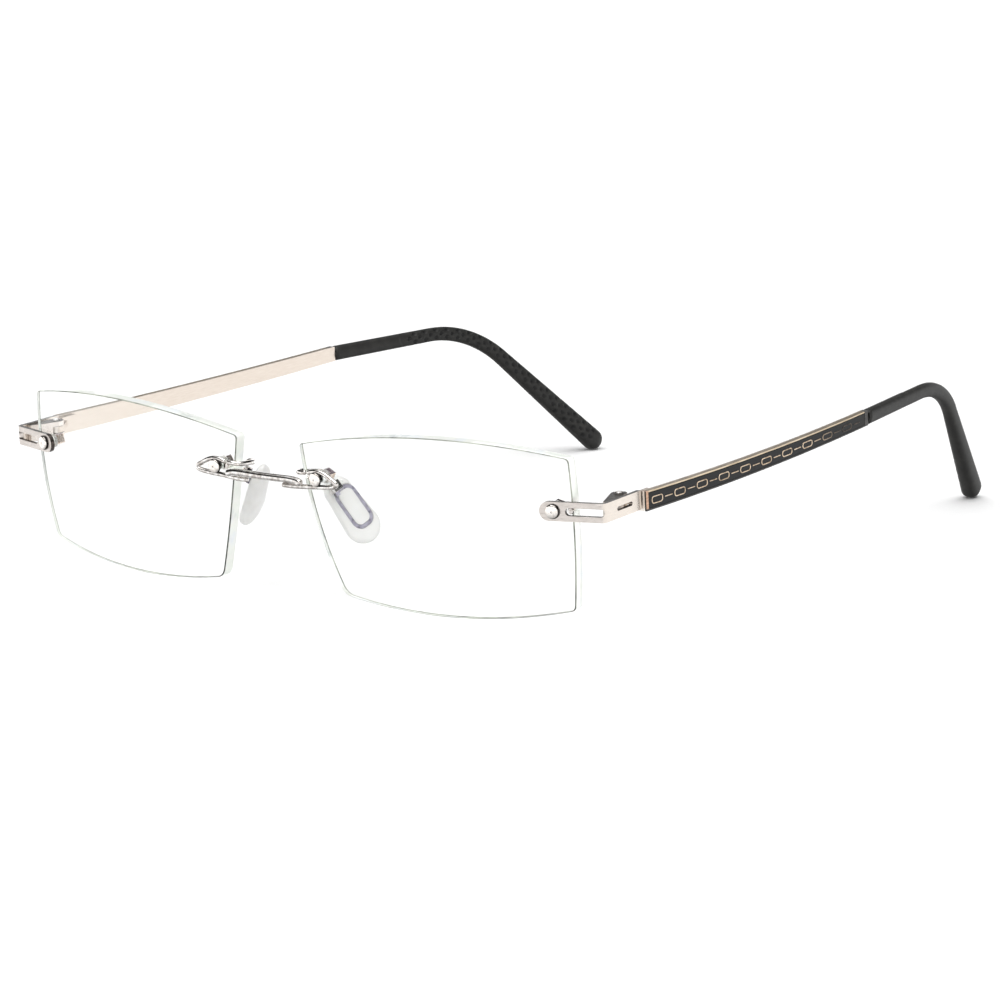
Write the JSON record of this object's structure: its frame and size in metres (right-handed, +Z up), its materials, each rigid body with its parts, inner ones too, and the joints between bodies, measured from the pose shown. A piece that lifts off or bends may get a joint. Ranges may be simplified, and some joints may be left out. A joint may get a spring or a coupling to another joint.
{
  "type": "rimless eyeglasses",
  "caption": "Rimless eyeglasses: drilled lenses on a wire bridge and bent endpieces, with folding temples, rubber tips and rocking nose pads.",
  "frame": {"origin": "bottom centre of the bounding box: midway between the sides and between front and back, on the surface the glasses stand on", "axes": "+X towards the wearer's left, +Y back along the temples, +Z up; the glasses are mirror images about X = 0"},
  "size_m": [0.1372, 0.1554, 0.0326],
  "materials": {
    "lens_clear": "clear, polished",
    "chrome": "polished plating",
    "brushed_silver": "fine lengthwise brushing",
    "dark_steel": "dark, fine textured",
    "nut_steel": "polished",
    "clear_plastic": "clear",
    "rose_silver": "satin, faintly rose",
    "black_satin": "satin black with a raised gold line pattern",
    "black_rubber": "matte",
    "pad_core": "satin",
    "silicone": "translucent, soft"
  },
  "bodies": {
    "front": {"bridge_bar": "chrome", "lens_left": "lens_clear", "lens_right": "lens_clear", "bridge_screw_left": "chrome", "bridge_screw_right": "chrome", "end_screw_left": "chrome", "end_screw_right": "chrome", "bridge_bushing_left": "clear_plastic", "bridge_bushing_right": "clear_plastic", "end_bushing_left": "clear_plastic", "end_bushing_right": "clear_plastic", "bridge_washer_left": "clear_plastic", "bridge_washer_right": "clear_plastic", "end_washer_left": "clear_plastic", "end_washer_right": "clear_plastic", "bridge_nut_left": "nut_steel", "bridge_nut_right": "nut_steel", "end_nut_left": "nut_steel", "end_nut_right": "nut_steel", "bridge_peg_left": "chrome", "bridge_peg_right": "chrome", "end_peg_left": "chrome", "end_peg_right": "chrome", "endpiece_left": "brushed_silver", "endpiece_right": "brushed_silver", "hinge_block_left": "dark_steel", "hinge_block_right": "dark_steel", "hinge_screw_left": "chrome", "hinge_screw_right": "chrome", "clamp_wire_left": "chrome", "clamp_wire_right": "chrome", "pad_arm_left": "chrome", "pad_arm_right": "chrome", "pad_box_left": "chrome", "pad_box_right": "chrome", "pad_pin_left": "chrome", "pad_pin_right": "chrome"},
    "temple_arm_left": {"hinge_leaf_left": "dark_steel", "temple_left": "rose_silver", "temple_inlay_left": "black_satin", "temple_tip_left": "black_rubber"},
    "temple_arm_right": {"hinge_leaf_right": "dark_steel", "temple_right": "rose_silver", "temple_inlay_right": "black_satin", "temple_tip_right": "black_rubber"},
    "pad_left": {"nose_pad_left": "silicone", "pad_insert_left": "pad_core"},
    "pad_right": {"nose_pad_right": "silicone", "pad_insert_right": "pad_core"}
  },
  "joints": [
    {"name": "temple_left_fold", "type": "hinge", "parent": "front", "child": "temple_arm_left", "pos_m": [0.0651, -0.05861, 0.02195], "axis": [0.003, -0.0583, 0.9983], "range_deg": [0, 84]},
    {"name": "temple_right_fold", "type": "hinge", "parent": "front", "child": "temple_arm_right", "pos_m": [-0.0651, -0.05861, 0.02195], "axis": [0.003, 0.0583, -0.9983], "range_deg": [0, 78]},
    {"name": "pad_left_rock", "type": "hinge", "parent": "front", "child": "pad_left", "pos_m": [0.01047, -0.06922, 0.02056], "axis": [0.1421, 0.9097, 0.3902], "range_deg": [-8, 8]},
    {"name": "pad_right_rock", "type": "hinge", "parent": "front", "child": "pad_right", "pos_m": [-0.01047, -0.06922, 0.02056], "axis": [0.1421, -0.9097, -0.3902], "range_deg": [-8, 8]}
  ]
}
